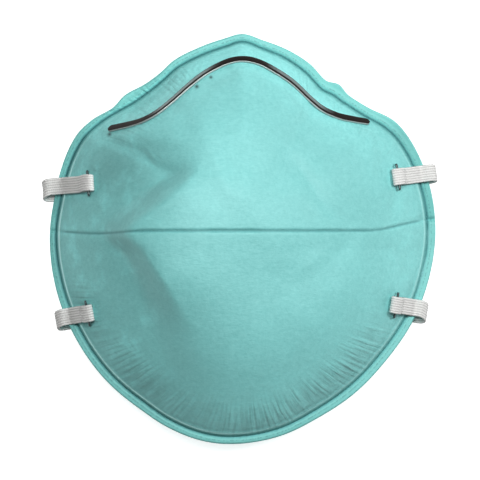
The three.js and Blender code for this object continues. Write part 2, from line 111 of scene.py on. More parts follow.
# ---- the cup's shape
CREASE_Y = 3 * MM  # the mouth crease crosses the cup here
MEAN_REACH = 62 * MM  # of the rim, which makes lengths along it of bearings

# The rim lies on both cheeks and climbs to the nose and to the chin.
RIM_REST = {"y": 1.8 * MM, "half_length": 4.5 * MM, "slope": 0.21, "soft": 0.15 * MM}

# Rim outline round the middle of the crease: bearing from +X, reach to the cut edge, and the width of
# the flange from that edge to the weld groove.
RIM = table(
    "bearing reach flange",
    (DEG, MM, MM),
    (0, 63.6, 2.6),
    (18, 63.2, 2.9),
    (30, 62.5, 3.2),
    (36, 61.4, 3.5),
    (44, 57.8, 2.8),
    (52, 56.4, 2.7),
    (56.5, 57.4, 3.7),
    (61, 56.3, 2.9),
    (68, 58.9, 3.0),
    (76, 61.0, 2.6),
    (84, 62.7, 2.4),
    (90, 64.4, 2.3),
    (96, 63.1, 2.4),
    (104, 61.6, 2.4),
    (112, 60.2, 2.4),
    (118, 58.3, 2.3),
    (124, 57.8, 2.6),
    (131, 58.9, 3.4),
    (137, 58.8, 1.7),
    (144, 61.5, 2.2),
    (151, 63.1, 2.3),
    (170, 63.0, 2.1),
    (180, 63.6, 2.0),
    (196, 64.3, 2.3),
    (212, 65.2, 2.4),
    (228, 66.5, 2.4),
    (240, 67.4, 2.4),
    (248, 68.7, 2.3),
    (258, 69.9, 2.2),
    (266, 69.9, 2.1),
    (280, 68.3, 2.2),
    (292, 66.0, 2.4),
    (304, 64.7, 2.6),
    (318, 63.4, 2.6),
    (332, 63.3, 2.6),
    (346, 63.3, 2.6),
)

# How full the dome's section is towards each bearing: the higher, the steeper it leaves the rim.
FULLNESS = table(
    "bearing power",
    (DEG, 1),
    (0, 2.2),
    (45, 2.2),
    (90, 2.6),
    (135, 2.35),
    (180, 2.5),
    (225, 2.5),
    (270, 3.0),
    (315, 2.9),
)

# The muzzle: a raised form that widens from the nose to the crease and closes towards the chin. flank is
# the width of its left side, and lean how much it falls from left to right.
MUZZLE = table(
    "y left flank right rise lean",
    (MM, MM, MM, MM, MM, 1),
    (-60, -14, 8, 10, 0, 0),
    (-32, -24, 10, 22, 0.6, 0.08),
    (-14, -31.5, 7, 28, 2.0, 0.21),
    (-5, -37, 6, 30, 3.0, 0.18),
    (3, -43, 7, 28, 3.8, 0.14),
    (14, -31, 9, 19, 4.2, 0.12),
    (20, -23, 7, 13, 3.8, 0.14),
    (23, -22.8, 9, 12, 3.0, 0.17),
    (29, -31, 18, 9, 2.2, 0.20),
    (35, -41, 20, 7, 1.8, 0.21),
    (46, -38, 16, 6, 0.9, 0.18),
    (58, -12, 12, 6, 0, 0),
)
MUZZLE_FORM = ("left", "flank", "right", "rise", "lean")
RIGHT_FLANK = 22 * MM

DENT = ("x y along across turn depth", (MM, MM, MM, MM, DEG, MM))
PLAN = ("x y", (MM, MM))

# Broad dents, and the finer creases that only the outer face shows: centre, half-axes along and across,
# the turn of the long one, and the depth. A negative depth makes a low ridge.
DENTS = table(
    *DENT,
    (-20.5, 21.6, 5, 3.4, 60, 0.5),
    (22, 18, 12, 3.2, -52, 0.5),
    (46, 27, 10, 2.4, 84, 0.5),
    (49, 9, 6, 2.2, 80, 0.4),
    (-36.5, -4, 10, 3.5, -38, 0.9),
    (34, -1, 5, 3, 50, 0.7),
)
CREASES = table(
    *DENT,
    (57.7, 7.1, 3, 0.5, 13, 0.3),
    (45.5, 26, 10, 1.3, 98, 0.4),
    (49.3, 9, 5.5, 0.9, 78, 0.25),
    (-40.8, -0.3, 6, 1.6, -20, 0.4),
    (-33.2, -5, 5, 1.8, -43, 0.35),
    (-28.2, -10.9, 5, 1.8, -57, 0.25),
    (23.4, -6.6, 9, 2.0, 38, -0.25),
    (-37.5, 32.6, 6.5, 0.8, -23, -0.22),
    (-38.3, 31.0, 6.5, 0.8, -23, 0.2),
    (-29.3, 27.2, 4.5, 0.8, -53, -0.2),
    (-30.6, 26.2, 4.5, 0.8, -53, 0.2),
    (-10.8, 50.6, 2.6, 1.2, 8, 0.3),
    (-15.5, 47.4, 3, 1.0, 20, 0.25),
    (-22.5, 42.6, 3, 0.9, 35, 0.25),
    (34.8, 4.6, 3.6, 0.7, 52, 0.3),
    (33.2, 1.2, 3.2, 0.7, -44, 0.28),
    (37.6, 2.2, 2.4, 0.6, 12, 0.2),
    (20.8, 19.8, 8, 1.8, -56, 0.5),
    (30.2, 8.8, 7, 1.8, -42, 0.5),
)

# Small dark spots on the web along the lower edge of the nose clip.
DARK_SPOTS = table(
    "x y half_width",
    (MM, MM, MM),
    (-43.7, 34.7, 0.6),
    (-15.0, 50.1, 0.6),
    (-10.4, 53.2, 0.5),
)

# Fans of wrinkles that run out to the rim: bearing and spread, how far in their middle lies and how far
# they reach from it, and their pitch, slant and depth.
WRINKLES = table(
    "bearing spread inset reach pitch slant depth",
    (DEG, DEG, MM, MM, MM, 1, MM),
    (-50, 16, 6, 5, 3.1, 0.5, 0.16),
    (-80, 18, 5, 5, 3.9, -0.6, 0.20),
    (-122, 17, 6, 6, 3.4, -0.9, 0.24),
    (-153, 8, 5, 3, 4.1, 0.7, 0.10),
    (134, 12, 5, 5, 2.6, 0.4, 0.18),
    (113, 10, 4, 3, 3.3, -0.7, 0.16),
    (62, 14, 4, 3, 3.1, 0.8, 0.14),
    (40, 10, 5, 4, 2.9, 0.3, 0.10),
    (127, 12, -1.2, 1.6, 3.1, 0.8, 0.10),
)

# Waves of unlike lengths, which make a pattern uneven: the length of a radian, the share and the start.
WAVE = ("length share start", (MM, 1, 1))
WRINKLE_SWAY = table(*WAVE, (5.1, 1.3, 0), (2.3, 0.9, 1))
CREASE_WAVER = table(*WAVE, (1.9, 0.2, 0), (4.7, 0.15, 2))
PATCHES = {"around": 3.7 * MM, "inward": 1.9 * MM, "strength": 0.4}  # of weak wrinkles

FOLD = {"slope": 0.015, "reach": 16 * MM, "soft": 1 * MM}  # both panels fall away from the crease
UPTURN = {"start": 40 * MM, "end": 64 * MM, "rise": 3.9 * MM, "reach": 12 * MM}  # right end
SAG = {"x": -48 * MM, "half_width": 10 * MM, "depth": 0.9 * MM}  # of the crease's left end
CREASE = {"half_width": 0.55 * MM, "depth": 0.5 * MM}  # groove across the mouth
WELD = {"half_width": 0.55 * MM, "depth": 0.6 * MM}  # groove between the flange and the dome
FLANGE_FALL = {"depth": 0.5 * MM, "reach": 2.4 * MM}  # the web thins out towards its cut edge
BEAD = {"inset": 1.05 * MM, "half_width": 0.42 * MM, "height": 0.32 * MM}  # raised line inside the groove
INNER_LINE = {"inset": 2.0 * MM, "half_width": 0.4 * MM, "depth": 0.2 * MM}  # pressed line inside the bead
INNER_LINE_SHARE = {"least": 0.35, "bearing": -55 * DEG, "spread": 40 * DEG}  # it is deepest there
WALL_BLEND = 5 * MM  # height over the flange at which the wall has its full thickness
RELIEF_START = 0.16  # share of the way in from the rim over which muzzle and dents grow

# Where each band end is stapled. heading is the band's way out over the rim, overhang how far its turn
# stands beyond the rim, and slip how far it comes back towards the chin.
ANCHORS = dict(
    zip(
        ("upper_left", "upper_right", "lower_left", "lower_right"),
        rows_of(
            table(
                "x y heading overhang slip",
                (MM, MM, DEG, MM, MM),
                (-49.7, 18.5, 184, 4.6, 2.2),
                (50.0, 20.5, 8, 3.6, 0.8),
                (-49.9, -23.8, 190, 3.3, 1.6),
                (49.3, -21.1, -9, 2.9, 2.2),
            )
        ),
    )
)
STAPLE_SPAN = 8.9 * MM  # over both legs

# The cup is drawn in at both legs of a staple, and pressed along the folded end of its band.
LEG_DIMPLE = {"aside": STAPLE_SPAN / 2 - 0.3 * MM, "half_width": 1.0 * MM, "depth": 0.45 * MM}
PRESSED_END = {"inward": 2.1 * MM, "half_width": 0.5 * MM, "half_length": 3.2 * MM, "depth": 0.35 * MM}


def ripple(waves, at):
    """The sum of some waves at a place along them."""
    return sum(wave["share"] * np.sin(at / wave["length"] + wave["start"]) for wave in rows_of(waves))


def angle_between(bearing, other):
    """From the other bearing to this one, the shorter way round."""
    return np.angle(np.exp(1j * (bearing - other)))


def along_and_across(x, y, spot, turn):
    """How far places lie from a spot, along a direction and across it."""
    x, y = x - spot["x"], y - spot["y"]
    return x * np.cos(turn) + y * np.sin(turn), y * np.cos(turn) - x * np.sin(turn)


class CupShape:
    """Heights of the cup's faces over the plan. Places may be numbers or arrays."""

    def __init__(self, sizes):
        self.sizes = sizes

    def rim(self, bearing, column):
        return read(RIM, "bearing", column, bearing, TURN)

    def foot(self, bearing):
        """Reach of the weld groove, where the dome starts."""
        return self.rim(bearing, "reach") - self.rim(bearing, "flange")

    def rim_bottom(self, y):
        past = np.maximum(0, np.abs(y - RIM_REST["y"]) - RIM_REST["half_length"])
        return np.hypot(past * RIM_REST["slope"], RIM_REST["soft"]) - RIM_REST["soft"]

    def crease_line(self, x):
        upturn = UPTURN["rise"] * smoothstep(UPTURN["start"], UPTURN["end"], x)
        return CREASE_Y + upturn - SAG["depth"] * bump(x - SAG["x"], SAG["half_width"])

    def muzzle(self, x, y):
        left, flank, right, rise, lean = (read(MUZZLE, "y", name, y) for name in MUZZLE_FORM)
        rise = rise - lean * x
        rise = rise * smoothstep(-flank / 2, flank, x - left)
        return rise * smoothstep(-RIGHT_FLANK / 2, RIGHT_FLANK, right - x)

    def dents(self, x, y, which):
        total = 0
        for dent in rows_of(which):
            along, across = along_and_across(x, y, dent, dent["turn"])
            total = total + dent["depth"] * bump(along, dent["along"]) * bump(across, dent["across"])
        return total

    def wrinkle_masks(self, bearing, inset):
        """How strongly each fan of wrinkles shows, with the fan's row."""
        for fan in rows_of(WRINKLES):
            off = angle_between(bearing, fan["bearing"])
            yield fan, bump(off, fan["spread"]) * bump(inset - fan["inset"], fan["reach"])

    def wrinkles(self, bearing, inset):
        total = 0
        for fan, mask in self.wrinkle_masks(bearing, inset):
            arc = bearing * MEAN_REACH + fan["slant"] * inset
            patch = np.sin(arc / PATCHES["around"] + inset / PATCHES["inward"])
            patchy = 1 + PATCHES["strength"] * (patch - 1)
            waves = np.sin(TURN * arc / fan["pitch"] + ripple(WRINKLE_SWAY, arc))
            total = total + fan["depth"] * mask * patchy * waves
        return total

    def staple_dimples(self, x, y):
        """How deep the cup is drawn in at the staples."""
        total = 0
        for anchor in ANCHORS.values():
            out, across = along_and_across(x, y, anchor, anchor["heading"])
            from_leg = np.hypot(out, np.abs(across) - LEG_DIMPLE["aside"])
            end = bump(out + PRESSED_END["inward"], PRESSED_END["half_width"])
            total = total + LEG_DIMPLE["depth"] * bump(from_leg, LEG_DIMPLE["half_width"])
            total = total + PRESSED_END["depth"] * end * bump(across, PRESSED_END["half_length"])
        return total

    def inset(self, x, y):
        """How far a place lies inside the weld groove; less than nothing on the flange."""
        return self.foot(np.arctan2(y - CREASE_Y, x)) - np.hypot(x, y - CREASE_Y)

    def face(self, x, y, plain=False):
        """Height of the outer face. Plain leaves out the lines and wrinkles that only it shows."""
        sizes = self.sizes
        bearing = np.arctan2(y - CREASE_Y, x)
        inset = self.inset(x, y)
        inward = np.clip(inset / self.foot(bearing), 0, 1)
        power = read(FULLNESS, "bearing", "power", bearing, TURN)
        from_crease = y - self.crease_line(x)
        away = (np.hypot(from_crease, FOLD["soft"]) - FOLD["soft"]) / FOLD["reach"]
        fold = FOLD["slope"] * FOLD["reach"] * (1 - np.exp(-away)) * inward
        relief = self.muzzle(x, y) - self.dents(x, y, DENTS)
        dome = sizes.dome_rise * (1 - (1 - inward) ** power)
        height = (
            self.rim_bottom(y) * (1 - inward)
            + sizes.flange_thickness
            + dome
            + relief * smoothstep(0, RELIEF_START, inward)
            - fold
        )
        if plain:
            return height
        strongest = bump(angle_between(bearing, INNER_LINE_SHARE["bearing"]), INNER_LINE_SHARE["spread"])
        inner_line = INNER_LINE_SHARE["least"] + (1 - INNER_LINE_SHARE["least"]) * strongest
        waver = 1 + ripple(CREASE_WAVER, x)
        return (
            height
            - FLANGE_FALL["depth"] * smoothstep(0, 1, -inset / FLANGE_FALL["reach"])
            - WELD["depth"] * bump(inset, WELD["half_width"])
            + BEAD["height"] * bump(inset - BEAD["inset"], BEAD["half_width"])
            - INNER_LINE["depth"] * inner_line * bump(inset - INNER_LINE["inset"], INNER_LINE["half_width"])
            - CREASE["depth"] * waver * bump(from_crease, CREASE["half_width"])
            - self.dents(x, y, CREASES)
            - self.staple_dimples(x, y)
            + self.wrinkles(bearing, inset) * sizes.wrinkling
        )

    def normal(self, x, y):
        """Unit normals of the plain face, as an array with three columns last."""
        step = 0.5 * MM
        slope_x = (self.face(x + step, y, True) - self.face(x - step, y, True)) / (2 * step)
        slope_y = (self.face(x, y + step, True) - self.face(x, y - step, True)) / (2 * step)
        normal = np.stack([-slope_x, -slope_y, np.ones_like(slope_x)], axis=-1)
        return normal / np.linalg.norm(normal, axis=-1, keepdims=True)

    def over(self, x, y, height=0.0):
        """Places at a height over the plain face, along its normal."""
        plain = np.stack([x, y, self.face(x, y, True)], axis=-1)
        return plain + self.normal(x, y) * np.asarray(height)[..., None]


# ---- the cup's mesh
PATCH_SIZE = 0.52  # of the middle patch, as a share of the disc whose edge is the weld groove
PATCH_SWELL = 0.3  # of its sides
CROWDING = {"amount": 0.6, "reach": 0.25}  # rows of the patch close up towards the crease
DOME_SHARE = 0.75  # of the way from the patch to the groove that the dome's rings fill
FINE_INSET = 5 * MM  # from there to the groove the rings lie close
FINE_RINGS = 20
FLANGE_RINGS = 9
FLANGE_CROWDING = 1.5  # the flange's rings close up towards the cut edge
EDGE_RADIUS = 0.3 * MM  # of that edge


def crowded(v):
    return v * (1 - CROWDING["amount"] * bump(v, CROWDING["reach"]))


def patch_place(u, v):
    """Place in the unit disc, as a complex number, of a point of the square patch."""
    w = crowded(v)
    return PATCH_SIZE * (
        u * np.sqrt(1 - PATCH_SWELL * w * w) + 1j * w * np.sqrt(1 - PATCH_SWELL * u * u)
    )


def border_bearing(u, v):
    """The bearing on the rim that a point of the patch's border is drawn out to."""
    on_side = np.abs(u) >= np.abs(v)
    side = np.where(u > 0, crowded(v) / 2, 2 - crowded(v) / 2)
    end = np.where(v > 0, 1 - u / 2, 3 + u / 2)
    return np.where(on_side, side, end) * (math.pi / 2)


def cup_plan(shape, place, dome_rings):
    """Plan places, as complex numbers, of points given by patch u and v and ring number, and how far each
    lies across the flange, from 0 at the groove to 1 at the cut edge."""
    u, v, ring = place.T
    start = patch_place(u, v)
    bearing = border_bearing(u, v)
    inset = FINE_INSET * np.clip(1 - (ring - dome_rings - 1) / (FINE_RINGS - 1), 0, 1)
    share = np.where(
        ring <= dome_rings,
        DOME_SHARE * ring / dome_rings,
        1 - inset / (shape.foot(bearing) * (1 - np.abs(start))),
    )
    disc = start + (np.exp(1j * bearing) - start) * share
    plan = disc * shape.foot(np.angle(disc))
    upturn = shape.crease_line(plan.real) - CREASE_Y
    plan = plan + 1j * upturn * bump(plan.imag, UPTURN["reach"])
    left = np.clip(1 - (ring - dome_rings - FINE_RINGS) / FLANGE_RINGS, 0, 1)
    beyond = 1 - left**FLANGE_CROWDING
    bearing = np.angle(plan)
    reach = shape.foot(bearing) + shape.rim(bearing, "flange") * beyond
    plan = np.where(beyond > 0, np.exp(1j * bearing) * reach, plan)
    return plan + 1j * CREASE_Y, beyond


def of_kind(kind, geometry):
    return [item for item in geometry if isinstance(item, kind)]


def borders(edges):
    return [edge for edge in edges if edge.is_boundary]


def build_cup(sizes):
    """Outer face from a grid and rings drawn out of its border, its copy as the inner face, and the cut
    edge between them. The layers hold what the web's pattern follows."""
    shape = CupShape(sizes)
    bm = bmesh.new()
    bmesh.ops.create_grid(bm, x_segments=sizes.cells, y_segments=sizes.cells, size=1)
    border = borders(bm.edges)
    for ring in range(1, sizes.dome_rings + FINE_RINGS + FLANGE_RINGS + 1):
        grown = bmesh.ops.extrude_edge_only(bm, edges=border)["geom"]
        for vert in of_kind(BMVert, grown):
            vert.co.z = ring
        border = borders(of_kind(BMEdge, grown))

    inner = bmesh.ops.duplicate(bm, geom=bm.verts[:] + bm.edges[:] + bm.faces[:])["geom"]
    bmesh.ops.reverse_faces(bm, faces=of_kind(BMFace, inner))
    bm.verts.index_update()
    is_inner = np.zeros(len(bm.verts), bool)
    is_inner[[vert.index for vert in of_kind(BMVert, inner)]] = True

    place = np.array([vert.co for vert in bm.verts])
    plan, beyond = cup_plan(shape, place, sizes.dome_rings)
    x, y = plan.real, plan.imag
    to_edge = shape.rim(np.angle(plan - 1j * CREASE_Y), "flange") * (1 - beyond)
    rounding = EDGE_RADIUS - np.sqrt(EDGE_RADIUS**2 - np.maximum(0, EDGE_RADIUS - to_edge) ** 2)
    outer = np.stack([x, y, shape.face(x, y) - np.where(beyond > 0, rounding, 0)], axis=-1)
    over_flange = shape.face(x, y, True) - shape.rim_bottom(y) - sizes.flange_thickness
    wall = sizes.flange_thickness + (sizes.wall - sizes.flange_thickness) * smoothstep(
        0, WALL_BLEND, over_flange
    )
    under = shape.over(x, y, -wall)
    under[:, 2] = np.maximum(under[:, 2], shape.rim_bottom(under[:, 1]))
    for vert, place in zip(bm.verts, np.where(is_inner[:, None], under, outer)):
        vert.co = place

    inset = shape.inset(x, y)
    masks = shape.wrinkle_masks(np.arctan2(y - CREASE_Y, x), inset)
    patterns = {
        "inset": inset,
        "from_crease": y - shape.crease_line(x),
        "puckered": sum(mask for _, mask in masks),
    }
    for name, values in patterns.items():
        layer = bm.verts.layers.float.new(name)
        for vert, value in zip(bm.verts, values):
            vert[layer] = value
    bmesh.ops.bridge_loops(bm, edges=borders(bm.edges))
    return bm


# ---- strips along a route
STATION_STEP = 0.5 * MM
BLUNT_END = 0.12  # share of its width that a strip with round ends keeps at its tip
MERGE_DISTANCE = 1e-7
RIB = {"steps": 6, "edge_power": 10, "edge_least": 0.15}  # points of a rib, and how round the edge is


def smooth_span(before, start, end, after, t):
    """Place and direction on a centripetal curve between two points of a route."""
    first = (start - before).length ** 0.5
    middle = (end - start).length ** 0.5
    last = (after - end).length ** 0.5
    leaving = (start - before) / first - (end - before) / (first + middle) + (end - start) / middle
    arriving = (end - start) / middle - (after - start) / (middle + last) + (after - end) / last
    leaving, arriving = leaving * middle, arriving * middle
    square = 3 * (end - start) - 2 * leaving - arriving
    cube = 2 * (start - end) + leaving + arriving
    place = start + leaving * t + square * t**2 + cube * t**3
    return place, (leaving + 2 * square * t + 3 * cube * t**2).normalized()


def stations_along(route):
    """Place, way across and normal at even steps along a smooth curve through a route of places and ways
    across."""
    points = [point for point, _ in route]
    points = [2 * points[0] - points[1], *points, 2 * points[-1] - points[-2]]
    stations = []
    for i in range(len(route) - 1):
        count = max(2, math.ceil((points[i + 2] - points[i + 1]).length / STATION_STEP))
        last = 1 if i == len(route) - 2 else 0
        for k in range(count + last):
            place, along = smooth_span(*points[i : i + 4], k / count)
            across = route[i][1].lerp(route[i + 1][1], k / count)
            across = (across - along * across.dot(along)).normalized()
            stations.append((place, across, along.cross(across)))
    return stations


def travel_along(stations):
    """How far along a strip each of its stations lies."""
    travel = [0.0]
    for before, after in zip(stations, stations[1:]):
        travel.append(travel[-1] + (after[0] - before[0]).length)
    return travel


def ways_along(points):
    """The way along a path at each point, from the point before it to the one after."""
    return [after - before for before, after in zip([points[0], *points], [*points[1:], points[-1]])]


def sweep(section, stations, end_radius=0.0):
    """A closed bar: a grid rolled round a section and run along the stations, narrowed to round ends
    where asked. Its UV map holds the way along and the way across, in metres."""
    bm = bmesh.new()
    around, along = len(section), len(stations) - 1
    bmesh.ops.create_grid(bm, x_segments=around, y_segments=along, size=0.5)
    uv = bm.loops.layers.uv.new("run")
    travel = travel_along(stations)

    def spot(vert):
        return round((vert.co.x + 0.5) * around) % around, round((vert.co.y + 0.5) * along)

    for face in bm.faces:
        for loop in face.loops:
            side, station = spot(loop.vert)
            loop[uv].uv = travel[station], section[side][0]
    for vert in bm.verts:
        side, station = spot(vert)
        place, across, normal = stations[station]
        left = min(travel[station], travel[-1] - travel[station])
        share = math.sqrt(1 - max(0, 1 - left / end_radius) ** 2) if end_radius else 1
        share = max(share, BLUNT_END)
        vert.co = place + across * section[side][0] * share + normal * section[side][1]
    bmesh.ops.remove_doubles(bm, verts=bm.verts, dist=MERGE_DISTANCE)
    bmesh.ops.edgeloop_fill(bm, edges=borders(bm.edges))
    bmesh.ops.recalc_face_normals(bm, faces=bm.faces)
    return bm


def rounded_section(width, thickness, radius, steps=4):
    """Outline of a flat bar with rounded edges, once round."""
    w, t = width / 2 - radius, thickness / 2 - radius
    corners = [(w, t, 0), (-w, t, 1), (-w, -t, 2), (w, -t, 3)]
    return [
        (x + radius * math.cos(angle), y + radius * math.sin(angle))
        for x, y, quarter in corners
        for angle in ((quarter + k / steps) * math.pi / 2 for k in range(steps + 1))
    ]


def ribbed_section(width, thickness, ribs, relief):
    """Outline of a braided band, once round: a lengthwise rib over each rubber core, and round edges."""
    steps = ribs * RIB["steps"]
    outline = []
    for side in (1, -1):
        for k in range(steps + 1):
            share = side * (1 - 2 * k / steps)
            crown = abs(math.sin(math.pi * ribs * (share + 1) / 2))
            edge = max(RIB["edge_least"], math.sqrt(1 - abs(share) ** RIB["edge_power"]))
            height = (thickness / 2 - relief * (1 - crown)) * edge
            outline.append((share * width / 2, side * height))
    return outline


def bar_stations(points, across):
    """Stations at the points of a path that stays square to one direction."""
    ways = ways_along(points)
    return [(place, across, way.normalized().cross(across)) for place, way in zip(points, ways)]


def rounded_corners(points, radius, steps=5):
    """The points of a path whose corners are rounded."""
    path = [points[0]]
    for before, corner, after in zip(points, points[1:], points[2:]):
        start = corner + (before - corner).normalized() * radius
        end = corner + (after - corner).normalized() * radius
        for k in range(steps + 1):
            path.append(start.lerp(corner, k / steps).lerp(corner.lerp(end, k / steps), k / steps))
    return path + [points[-1]]


# ---- headbands
REST = 0.1 * MM  # air under what lies on the cup's smooth face
SEAT = 0.2 * MM  # more of it where a band passes the rim

# An end of a band: its tail beyond the staple, the length of its turn beyond the rim and the turn's
# height over the rim's top, and how far in from the rim it is back on the surface below.
BAND_END = {"tail": 3 * MM, "turn_length": 2.2 * MM, "turn_over": 1 * MM, "landing": 5 * MM}

# Stations of that end: round its fold, as shares of the way to the rim, and down its turn.
FOLD_ANGLES = [angle * DEG for angle in (-90, -45, 0, 45, 90)]
OVER_CUP = (0.35, 0.6, 0.85)
TURN_ANGLES = [angle * DEG for angle in (60, 25, -10, -45, -72, -90)]
EDGE_SEARCH = np.arange(0, 30 * MM, 0.05 * MM)  # distances at which the rim's edge is looked for

# Loose stretch of each band, flat on the surface inside the rim, from left to right.
LOOPS = {
    "upper": table(
        *PLAN,
        (-50, 17.2),
        (-43, 22.8),
        (-36, 32),
        (-25, 42),
        (-12, 49),
        (0, 51),
        (12, 49),
        (25, 42.5),
        (36, 33.5),
        (43, 25),
        (50, 19.5),
    ),
    "lower": table(
        *PLAN,
        (-47, -30),
        (-38, -38),
        (-27, -46),
        (-14, -52),
        (0, -54.5),
        (14, -52),
        (27, -45.5),
        (38, -37),
        (47, -28.5),
    ),
}


def heights_over_cup(band, staple):
    """Of the middle of a band's tail, the underside of a staple's crown, and the band's way back."""
    tail = REST + band.thickness / 2
    crown = tail + band.thickness / 2 + REST
    back = crown + staple.wire + REST + band.thickness / 2
    return tail, crown, back


class BandEnd:
    """One end of a band: round the fold at its staple, over the rim, and down to the surface below."""

    def __init__(self, shape, anchor, band, staple):
        self.shape = shape
        self.anchor = anchor
        self.band = band
        self.out = Vector((math.cos(anchor["heading"]), math.sin(anchor["heading"])))
        self.towards_nose = math.copysign(1, self.out.x)
        self.tail, _, self.back = heights_over_cup(band, staple)
        self.staple_depth = staple.depth

    def at(self, distance):
        return Vector((self.anchor["x"], self.anchor["y"])) + self.out * distance

    def edge_distance(self):
        """How far out from the staple the rim's cut edge lies."""
        x = self.anchor["x"] + self.out.x * EDGE_SEARCH
        y = self.anchor["y"] + self.out.y * EDGE_SEARCH - CREASE_Y
        outside = np.hypot(x, y) > self.shape.rim(np.arctan2(y, x), "reach")
        return EDGE_SEARCH[np.argmax(outside)]

    def on_face(self, distance, over):
        x, y = self.at(distance)
        across = Vector(self.shape.normal(x, y)).cross(self.out.to_3d()).normalized()
        return Vector(self.shape.over(x, y, over)), across * self.towards_nose

    def loose(self, distance, height, slip):
        x, y = self.at(distance)
        across = Vector((-self.out.y, self.out.x, 0)) * self.towards_nose
        return Vector((x, y - slip * self.anchor["slip"], height)), across

    def over_cup(self, distance):
        """Over the highest place of the cup that lies under the band there."""
        x, y = self.at(distance)
        aside = np.array([-0.5, 0, 0.5])[:, None] * self.band.width
        ahead = np.array([-1, 0, 1])[None, :] * MM
        near = self.shape.face(
            x + ahead * self.out.x - aside * self.out.y, y + ahead * self.out.y + aside * self.out.x
        )
        return self.loose(distance, near.max() + self.tail, 0)

    def fold(self):
        """Round the far side of the staple, from the tail to the way back over it."""
        radius = (self.back - self.tail) / 2
        for angle in FOLD_ANGLES:
            distance = -self.staple_depth / 2 - REST - radius * math.cos(angle)
            yield self.on_face(distance, self.tail + radius * (1 + math.sin(angle)))

    def turn(self, edge, top, foot):
        """Beyond the rim, from over its edge to the surface below."""
        start = edge + self.anchor["overhang"] - self.band.thickness / 2 - BAND_END["turn_length"]
        for angle in TURN_ANGLES:
            distance = start + BAND_END["turn_length"] * math.cos(angle)
            height = foot + (top - foot) / 2 * (1 + math.sin(angle))
            yield self.loose(distance, height, (1 - math.sin(angle)) / 2)

    def route(self):
        edge = self.edge_distance()
        rim_top = self.shape.rim_bottom(self.at(edge).y) + self.shape.sizes.flange_thickness
        top = rim_top + BAND_END["turn_over"]
        floor = self.band.thickness / 2
        foot = floor + SEAT / 2
        return [
            self.on_face(BAND_END["tail"], self.tail),
            self.on_face(BAND_END["tail"] / 2, self.tail),
            *self.fold(),
            self.on_face(self.staple_depth, self.back),
            *(self.over_cup(share * edge) for share in OVER_CUP),
            self.loose(edge + self.staple_depth, top + SEAT, 0),
            *self.turn(edge, top, foot),
            self.loose(edge - BAND_END["landing"] / 2, foot, 1),
            self.loose(edge - BAND_END["landing"], (foot + floor) / 2, 1),
        ]


def band_stations(shape, which, band, staple):
    """Stations of a whole headband, from its left tail to its right one."""
    places = [Vector((row["x"], row["y"], band.thickness / 2)) for row in rows_of(LOOPS[which])]
    ways = ways_along(places)
    loose = [(place, UP.cross(way).normalized()) for place, way in zip(places, ways)]
    left, right = (
        BandEnd(shape, ANCHORS[f"{which}_{side}"], band, staple).route() for side in ("left", "right")
    )
    return stations_along([*left, *loose, *reversed(right)])


# ---- nose clip and staples
# Middle line of the nose clip in plan: a bell that follows the bridge of the nose.
CLIP_LINE = table(
    *PLAN,
    (-43.7, 36.1),
    (-33, 38.6),
    (-28, 41.2),
    (-23.1, 45),
    (-18.1, 49.5),
    (-13.2, 53.5),
    (-8.4, 56.4),
    (-3.5, 58.4),
    (1, 58.8),
    (5.5, 57.7),
    (11, 54.8),
    (16, 51.4),
    (22, 45.8),
    (26, 42.6),
    (31, 40.4),
    (36, 39.3),
    (41.4, 38.4),
)


def build_clip(shape, sizes):
    """A flat bar with rounded edges and ends, bent over the bridge of the nose."""
    spots = [(row["x"], row["y"]) for row in rows_of(CLIP_LINE)]
    route = []
    for spot, way in zip(spots, ways_along([Vector((*spot, 0)) for spot in spots])):
        place = Vector(shape.over(*spot, REST + sizes.thickness / 2))
        route.append((place, Vector(shape.normal(*spot)).cross(way).normalized()))
    section = rounded_section(sizes.width, sizes.thickness, sizes.edge_radius)
    return sweep(section, stations_along(route), sizes.width / 2)


# Of the staples' wire, as shares of its thickness: how its corners are bent and its edges rounded.
WIRE = {"bend": 0.8, "edge": 0.35}


def anchor_frame(shape, anchor):
    """Frame of a staple on the cup: x out along the band, y along the crown, z off the face."""
    normal = Vector(shape.normal(anchor["x"], anchor["y"]))
    way = Vector((math.cos(anchor["heading"]), math.sin(anchor["heading"]), 0))
    across = normal.cross(way).normalized()
    axes = Matrix((across.cross(normal), across, normal)).transposed().to_4x4()
    return Matrix.Translation(Vector(shape.over(anchor["x"], anchor["y"]))) @ axes


def build_staple(shape, anchor, band, sizes):
    """Flat wire: the crown over the band's tail, legs through the wall, tips clinched under it."""
    _, crown, _ = heights_over_cup(band, sizes)
    half = (STAPLE_SPAN - sizes.wire) / 2
    top = crown + sizes.wire / 2
    inside = -shape.sizes.wall - REST - sizes.wire / 2
    frame_on_cup = anchor_frame(shape, anchor)
    down = frame_on_cup.to_3x3().transposed() @ -UP
    leg = down * ((inside - top) / down.z)
    tip = leg.to_2d().to_3d()
    path = []
    for side in (-1, 1):
        shoulder = Vector((0, side * half, top))
        bent = Vector((tip.x, side * (half + sizes.wire / 2 - sizes.clinch) + tip.y, inside))
        path.extend([bent, shoulder + leg, shoulder][::-side])
    path = rounded_corners(path, sizes.wire * WIRE["bend"])
    section = rounded_section(sizes.depth, sizes.wire, sizes.wire * WIRE["edge"])
    bm = sweep(section, bar_stations(path, Vector((1, 0, 0))))
    bmesh.ops.transform(bm, matrix=frame_on_cup, verts=bm.verts)
    return bm


# ---- shader maths
def node_operator(operation, reflected=False):
    """A Python operator that adds a Math node."""

    def apply(value, other):
        return value.shader.math(operation, *((other, value) if reflected else (value, other)))

    return apply


